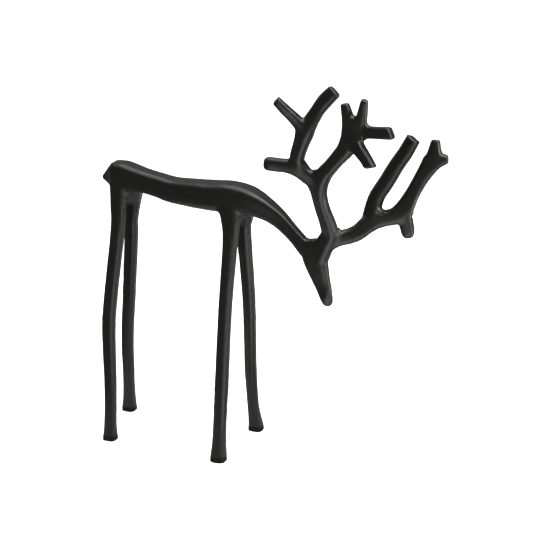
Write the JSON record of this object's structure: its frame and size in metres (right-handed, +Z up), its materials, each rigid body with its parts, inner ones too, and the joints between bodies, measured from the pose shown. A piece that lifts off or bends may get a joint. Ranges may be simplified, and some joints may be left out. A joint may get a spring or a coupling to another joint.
{
  "type": "cast iron stag statue",
  "caption": "Standing stag cast from squarish black iron rods, with straight legs, lowered head and branching antlers.",
  "frame": {"origin": "on the floor, under the middle of the outline", "axes": "+Z up, +X the way the stag faces, +Y to its own left"},
  "size_m": [0.2688, 0.0788, 0.3],
  "materials": {
    "black_iron": "sand-cast surface under a thin black satin lacquer"
  },
  "bodies": {
    "root": {"stag": "black_iron"}
  },
  "joints": []
}
